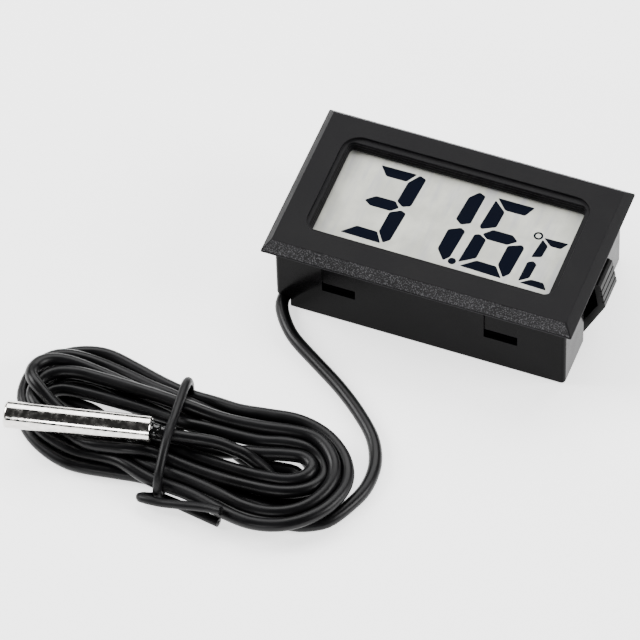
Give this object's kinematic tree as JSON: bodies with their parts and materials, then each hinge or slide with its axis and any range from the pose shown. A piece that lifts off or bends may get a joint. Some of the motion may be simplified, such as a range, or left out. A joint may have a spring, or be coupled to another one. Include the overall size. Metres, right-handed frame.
{
  "type": "digital panel thermometer",
  "caption": "Flush-mount digital thermometer with a framed liquid-crystal display, spring side clips, a sliding battery cover and a steel probe on a tied hank of thin cord.",
  "frame": {"origin": "middle of the back face of the instrument, which lies on the table", "axes": "+X along the display to its right end, +Y up the display, +Z out of the display towards the reader"},
  "size_m": [0.0763, 0.0689, 0.0152],
  "materials": {
    "grained_black": "fine-grained black ABS",
    "glossy_black": "smooth glossy black ABS",
    "cord_black": "satin black soft PVC",
    "steel": "polished stainless steel",
    "nickel": "nickel plate",
    "copper": "tinned copper wire",
    "display": "light grey polariser film with dark segments",
    "glass": "clear display glass",
    "zebra": "layered conductive rubber",
    "board": "green fibreglass board",
    "epoxy": "black epoxy resin",
    "ceramic": "tan ceramic chip",
    "glue": "clear hot-melt glue",
    "red_insulation": "red PVC insulation"
  },
  "bodies": {
    "instrument": {"front_bezel": "grained_black", "rear_housing": "glossy_black", "lcd_polariser": "display", "lcd_front_glass": "glass", "lcd_rear_glass": "glass", "lcd_reflector": "nickel", "zebra_strip_upper": "zebra", "zebra_strip_lower": "zebra", "circuit_board": "board", "chip_blob": "epoxy", "crystal_can": "nickel", "capacitor_upper": "ceramic", "capacitor_lower": "ceramic", "resistor_upper": "epoxy", "resistor_lower": "epoxy", "battery_cell_left": "steel", "battery_cell_right": "steel", "contact_positive": "nickel", "contact_negative": "nickel", "contact_bridge": "nickel", "cord_lead": "cord_black", "cord_hank": "cord_black", "cord_tail": "cord_black", "cord_anchor": "glue", "conductor_red": "red_insulation", "conductor_black": "cord_black", "hank_tie": "cord_black", "probe_sleeve": "steel", "probe_sealant": "epoxy", "thermistor_bead": "epoxy", "thermistor_leg_a": "copper", "thermistor_leg_b": "copper"},
    "left_clip": {"side_clip_left": "glossy_black"},
    "right_clip": {"side_clip_right": "glossy_black"},
    "cover": {"battery_cover": "glossy_black"}
  },
  "joints": [
    {"name": "left_clip_flex", "type": "hinge", "parent": "instrument", "child": "left_clip", "pos_m": [-0.0213, 0, 0.0006], "axis": [0, 1, 0], "range_deg": [0, 17.5], "stiffness_Nm_per_rad": 0.1},
    {"name": "right_clip_flex", "type": "hinge", "parent": "instrument", "child": "right_clip", "pos_m": [0.0213, 0, 0.0006], "axis": [0, -1, 0], "range_deg": [0, 17.5], "stiffness_Nm_per_rad": 0.1},
    {"name": "battery_cover_slide", "type": "slide", "parent": "instrument", "child": "cover", "axis": [0, 1, 0], "range_m": [0, 0.0204]}
  ]
}
